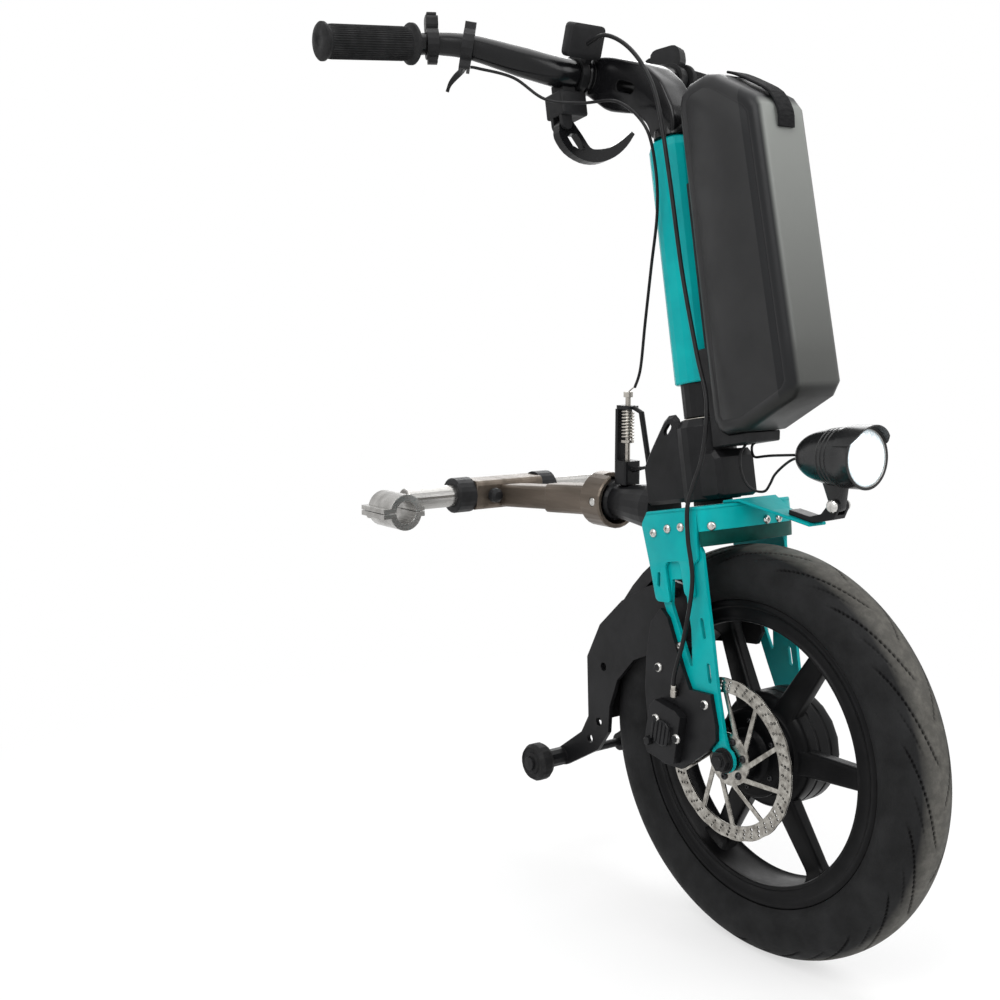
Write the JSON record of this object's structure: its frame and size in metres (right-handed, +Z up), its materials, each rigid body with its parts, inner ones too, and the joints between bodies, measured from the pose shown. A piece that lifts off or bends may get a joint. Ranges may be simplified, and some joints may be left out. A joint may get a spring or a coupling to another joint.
{
  "type": "wheelchair drive unit",
  "caption": "Front-wheel power unit that docks to a wheelchair: fork with hub-motor wheel and disc brake, column with battery, handlebar, headlight and telescopic clamp arm.",
  "frame": {"origin": "middle of the docking crossbar between the two frame clamps", "axes": "+X forward, +Y to the rider's left, +Z up; docked attitude, ground 0.415 m below the origin"},
  "size_m": [0.686, 0.6036, 0.9536],
  "materials": {
    "teal_paint": "semi-gloss powder coat",
    "black_paint": "satin powder coat",
    "teal_alloy": "semi-gloss powder coat",
    "black_alloy": "satin paint on cast and forged alloy",
    "black_plastic": "moulded, fine grain",
    "battery_shell": "moulded, satin",
    "bronze_anodised": "anodised, satin",
    "bright_alloy": "turned and brushed",
    "brushed_steel": "brushed",
    "soft_rubber": "matt",
    "tyre_rubber": "matt",
    "lamp_lens": "clear over a bright reflector"
  },
  "bodies": {
    "crossbar": {"crossbar_hub": "bronze_anodised", "side_sleeve_right": "black_plastic", "side_sleeve_left": "black_plastic", "dock_arm_inner": "bronze_anodised"},
    "knob": {"crossbar_knob": "black_plastic"},
    "arm": {"dock_arm": "bronze_anodised", "dock_pivot_pin": "brushed_steel"},
    "side_right": {"side_arm_right": "bright_alloy"},
    "side_left": {"side_arm_left": "bright_alloy"},
    "jaw_right": {"clamp_jaw_right": "bright_alloy"},
    "jaw_left": {"clamp_jaw_left": "bright_alloy"},
    "head": {"head_housing": "black_alloy", "head_bearing_lower": "brushed_steel", "head_bearing_upper": "brushed_steel", "latch_bracket": "black_alloy", "latch_spring": "brushed_steel"},
    "plunger": {"latch_plunger": "brushed_steel"},
    "steered": {"fork_crown": "teal_paint", "fork_leg_right": "teal_paint", "fork_leg_left": "teal_paint", "axle": "black_paint", "steerer_tube": "black_paint", "column": "teal_alloy", "battery_base": "black_plastic", "stem": "black_alloy", "handlebar": "black_alloy", "grip_right": "soft_rubber", "grip_left": "soft_rubber", "headlight_bracket": "black_paint", "lamp_tongue": "teal_paint", "lamp_bolt": "bright_alloy", "brake_caliper": "black_alloy", "brake_pad_outer": "brushed_steel", "brake_pad_inner": "brushed_steel", "caliper_bracket": "black_paint", "stand_frame": "black_paint", "rear_guard": "black_plastic", "display_unit": "black_plastic", "control_box": "black_plastic", "trigger_clamp": "black_plastic", "switch_clamp": "black_plastic", "throttle_pod": "black_plastic", "release_cable": "soft_rubber", "brake_hose": "soft_rubber"},
    "wheel": {"tyre": "tyre_rubber", "cast_wheel": "black_alloy", "hub_cover": "black_plastic", "brake_rotor": "brushed_steel"},
    "battery": {"battery_case": "battery_shell", "carry_strap": "soft_rubber"},
    "lamp": {"headlight_body": "black_plastic", "headlight_lens": "lamp_lens"},
    "lever": {"brake_lever": "black_alloy"},
    "trigger": {"trigger_lever": "black_plastic"},
    "switch": {"switch_button": "soft_rubber"},
    "throttle": {"throttle_paddle": "soft_rubber"},
    "right_roller": {"roller_right": "soft_rubber"},
    "left_roller": {"roller_left": "soft_rubber"}
  },
  "joints": [
    {"name": "knob_pull", "type": "slide", "parent": "crossbar", "child": "knob", "axis": [1, 0, 0], "range_m": [0, 0.006], "stiffness_N_per_m": 300},
    {"name": "arm_telescope", "type": "slide", "parent": "crossbar", "child": "arm", "axis": [0.9969, 0, 0.0785], "range_m": [-0.025, 0.01]},
    {"name": "side_slide_right", "type": "slide", "parent": "crossbar", "child": "side_right", "axis": [0, -1, 0], "range_m": [0, 0.03]},
    {"name": "side_slide_left", "type": "slide", "parent": "crossbar", "child": "side_left", "axis": [0, 1, 0], "range_m": [0, 0.03]},
    {"name": "jaw_open_right", "type": "hinge", "parent": "side_right", "child": "jaw_right", "pos_m": [0, -0.1295, -0.011], "axis": [1, 0, 0], "range_deg": [0, 70]},
    {"name": "jaw_open_left", "type": "hinge", "parent": "side_left", "child": "jaw_left", "pos_m": [0, 0.1295, -0.011], "axis": [-1, 0, 0], "range_deg": [0, 70]},
    {"name": "dock_tilt", "type": "hinge", "parent": "arm", "child": "head", "pos_m": [0.215, 0, 0.013], "axis": [0, -1, 0], "range_deg": [0, 24]},
    {"name": "latch_pull", "type": "slide", "parent": "head", "child": "plunger", "axis": [0, 0, 1], "range_m": [0, 0.0078], "stiffness_N_per_m": 400, "springref_m": -0.004, "deforming": ["latch_spring"]},
    {"name": "steering", "type": "hinge", "parent": "head", "child": "steered", "pos_m": [0.3729, 0, 0.026], "axis": [-0.1867, 0, 0.9824], "range_deg": [-40, 40]},
    {"name": "wheel_spin", "type": "hinge", "parent": "steered", "child": "wheel", "pos_m": [0.45501, 0, -0.21002], "axis": [0, 1, 0], "continuous": true},
    {"name": "battery_lift", "type": "slide", "parent": "steered", "child": "battery", "axis": [-0.1867, 0, 0.9824], "range_m": [0, 0.06]},
    {"name": "headlight_tilt", "type": "hinge", "parent": "steered", "child": "lamp", "pos_m": [0.5335, 0, 0.04329], "axis": [0, 1, 0], "range_deg": [-15, 20]},
    {"name": "brake_squeeze", "type": "hinge", "parent": "steered", "child": "lever", "pos_m": [0.18507, -0.052, 0.41986], "axis": [0.9824, 0, 0.1867], "range_deg": [0, 12], "stiffness_Nm_per_rad": 0.4, "springref_deg": -8.59},
    {"name": "trigger_squeeze", "type": "hinge", "parent": "steered", "child": "trigger", "pos_m": [0.13489, -0.1443, 0.47682], "axis": [0.5448, 0.8242, -0.1547], "range_deg": [0, 14], "stiffness_Nm_per_rad": 0.05, "springref_deg": -11.46},
    {"name": "switch_press", "type": "slide", "parent": "steered", "child": "switch", "axis": [0.1579, -0.0622, -0.9855], "range_m": [0, 0.001], "stiffness_N_per_m": 600},
    {"name": "throttle_push", "type": "hinge", "parent": "steered", "child": "throttle", "pos_m": [0.10695, 0.16862, 0.52759], "axis": [0.4258, -0.9047, 0.0111], "range_deg": [0, 25], "stiffness_Nm_per_rad": 0.03},
    {"name": "roller_spin_right", "type": "hinge", "parent": "steered", "child": "right_roller", "pos_m": [0.184, -0.08, -0.284], "axis": [0, 1, 0], "continuous": true},
    {"name": "roller_spin_left", "type": "hinge", "parent": "steered", "child": "left_roller", "pos_m": [0.184, 0.08, -0.284], "axis": [0, 1, 0], "continuous": true}
  ],
  "couplings": [
    {"joint": "trigger_squeeze", "follows": "latch_pull", "rad_per_m": 31.25}
  ]
}
